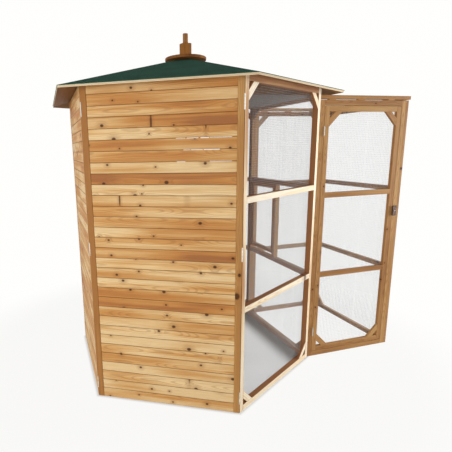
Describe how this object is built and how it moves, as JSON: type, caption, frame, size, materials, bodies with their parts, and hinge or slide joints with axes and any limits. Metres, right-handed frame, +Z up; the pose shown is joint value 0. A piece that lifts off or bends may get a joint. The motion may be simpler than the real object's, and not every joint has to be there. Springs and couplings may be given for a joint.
{
  "type": "bird aviary",
  "caption": "Six-sided walk-in timber aviary with clad and netted walls, a felted pyramid roof with a finial, and a netted box porch with a hinged door and an inner hatch.",
  "frame": {"origin": "on the ground, in the middle of the whole object's plan", "axes": "+Z up, -Y out of the clad front wall, +X to the right of it, the way the object is longest; the porch stands out towards +X and +Y"},
  "size_m": [2.8668, 2.2776, 2.5763],
  "materials": {
    "fir": "planed, oiled",
    "cladding": "planed, oiled, knotty",
    "plywood": "bare",
    "felt": "mineral grit",
    "wire": "zinc coated",
    "steel": "zinc coated",
    "hardwood": "dark stain"
  },
  "bodies": {
    "aviary": {"back_left_wall_backing": "fir", "back_left_wall_boards": "cladding", "back_left_wall_stile_left": "fir", "back_left_wall_stile_right": "fir", "back_wall_frame": "fir", "back_wall_net": "wire", "door_button_screw": "steel", "door_lower_hinge_fixed": "steel", "door_upper_hinge_fixed": "steel", "entry_wall_frame": "fir", "entry_wall_net": "wire", "finial_block": "fir", "finial_disc": "fir", "finial_post": "fir", "front_wall_backing": "fir", "front_wall_boards": "cladding", "front_wall_stile_left": "fir", "front_wall_stile_right": "fir", "hatch_button_screw": "steel", "hatch_lower_hinge_fixed": "steel", "hatch_post": "fir", "hatch_upper_hinge_fixed": "steel", "left_wall_backing": "fir", "left_wall_boards": "cladding", "left_wall_stile_left": "fir", "left_wall_stile_right": "fir", "porch_end_frame": "fir", "porch_end_net": "wire", "porch_roof_frame": "fir", "porch_roof_net": "wire", "porch_side_frame": "fir", "porch_side_net": "wire", "portal_frame": "fir", "right_wall_bottom_rail": "fir", "right_wall_lower_rail": "fir", "right_wall_net": "wire", "right_wall_stile_left": "fir", "right_wall_stile_right": "fir", "right_wall_top_rail": "fir", "right_wall_upper_rail": "fir", "roof_deck": "plywood", "roof_felt": "felt", "roof_rafters": "fir"},
    "door": {"door_bottom_rail": "fir", "door_lower_hinge_moving": "steel", "door_lower_rail": "fir", "door_net": "wire", "door_stile_left": "fir", "door_stile_right": "fir", "door_top_rail": "fir", "door_upper_hinge_moving": "steel", "door_upper_rail": "fir"},
    "hatch": {"hatch_frame": "fir", "hatch_lower_hinge_moving": "steel", "hatch_net": "wire", "hatch_upper_hinge_moving": "steel"},
    "door_button": {"door_turn_button": "hardwood"},
    "hatch_button": {"hatch_turn_button": "hardwood"}
  },
  "joints": [
    {"name": "door_hinge", "type": "hinge", "parent": "aviary", "child": "door", "pos_m": [0.75959, -0.1215, 0.218], "axis": [0, 0, -1], "range_deg": [0, 140]},
    {"name": "door_button_turn", "type": "hinge", "parent": "aviary", "child": "door_button", "pos_m": [1.38069, 0.23652, 1.185], "axis": [0.5, -0.866, 0], "range_deg": [0, 90]},
    {"name": "hatch_hinge", "type": "hinge", "parent": "aviary", "child": "hatch", "pos_m": [0.24734, 0.69415, 0.84767], "axis": [0, 0, 1], "range_deg": [0, 88]},
    {"name": "hatch_button_turn", "type": "hinge", "parent": "aviary", "child": "hatch_button", "pos_m": [0.46366, 0.31906, 1.074], "axis": [0.866, 0.5, 0], "range_deg": [0, 90]}
  ]
}
